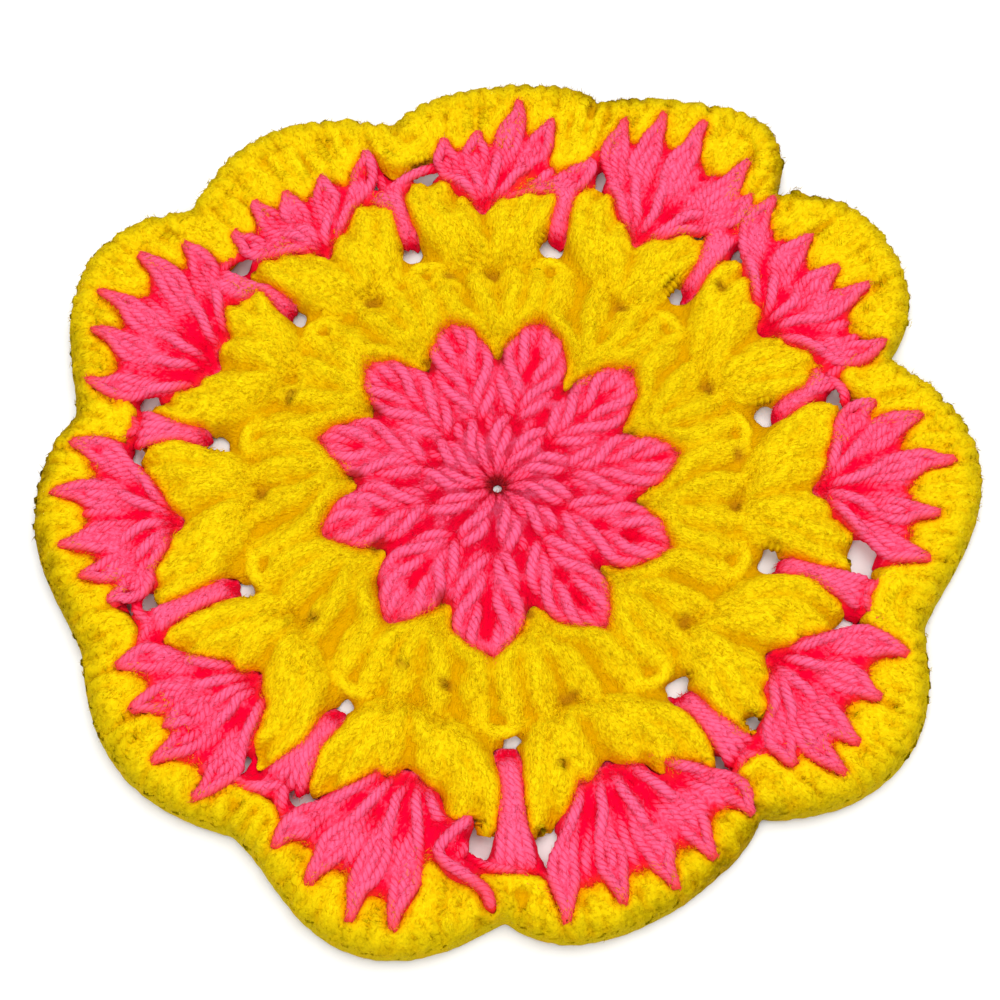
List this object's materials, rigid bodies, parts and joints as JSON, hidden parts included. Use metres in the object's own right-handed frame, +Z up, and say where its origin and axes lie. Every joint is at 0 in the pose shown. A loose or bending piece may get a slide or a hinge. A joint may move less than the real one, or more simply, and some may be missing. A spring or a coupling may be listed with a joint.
{
  "type": "crocheted pot holder",
  "caption": "Round crocheted lace pot holder: a star centre, lobed middle rounds, fan shells and a scalloped rim, to hold hot pots or rest them on.",
  "frame": {"origin": "on the surface it rests on, under the middle of its outline", "axes": "+Z up through its thickness, front face up; +Y towards the edge that is far from a viewer in the picture; +X to the viewer's right"},
  "size_m": [0.1912, 0.1902, 0.0103],
  "materials": {
    "pink_yarn": "fuzzy plied acrylic yarn, matt",
    "yellow_yarn": "fuzzy plied acrylic yarn, matt"
  },
  "bodies": {
    "root": {"centre_star": "pink_yarn", "yellow_rounds": "yellow_yarn", "shell_round": "pink_yarn", "border_round": "yellow_yarn", "yarn_tail": "pink_yarn"}
  },
  "joints": []
}
